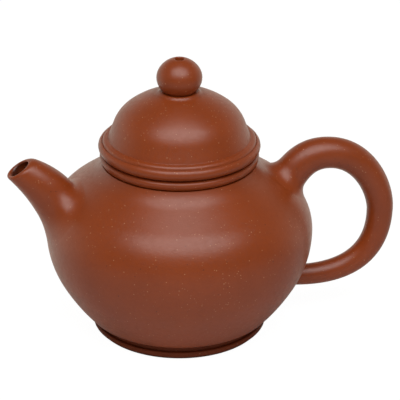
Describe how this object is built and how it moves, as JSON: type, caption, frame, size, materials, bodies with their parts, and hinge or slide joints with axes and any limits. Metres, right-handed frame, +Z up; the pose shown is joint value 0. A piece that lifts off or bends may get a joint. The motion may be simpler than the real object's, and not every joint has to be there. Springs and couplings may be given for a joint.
{
  "type": "teapot",
  "caption": "Round unglazed clay teapot with a bent spout, an ear-shaped handle, a turned foot and a loose domed lid with a ball knob, for brewing and pouring tea.",
  "frame": {"origin": "on the pot's axis, at the plane of the foot ring's standing edge", "axes": "+Z up along the pot's axis, +X towards the handle, -X towards the spout"},
  "size_m": [0.1353, 0.092, 0.0987],
  "materials": {
    "red_clay": "unglazed stoneware, hand burnished to a soft satin",
    "foot_clay": "unglazed stoneware, left matt"
  },
  "bodies": {
    "pot": {"foot_ring": "foot_clay", "base_disc": "foot_clay", "body_wall": "red_clay", "upper_wall": "red_clay", "shoulder_disc": "red_clay", "neck_collar": "red_clay", "mouth_ring": "red_clay", "spout": "red_clay", "spout_strainer": "foot_clay", "handle": "red_clay"},
    "lid": {"lid_dome": "red_clay", "lid_flange": "red_clay", "lid_bezel": "red_clay", "knob_collar": "red_clay", "knob": "red_clay"}
  },
  "joints": [
    {"name": "lid_lift", "type": "slide", "parent": "pot", "child": "lid", "axis": [0, 0, 1], "range_m": [0, 0.06]}
  ]
}
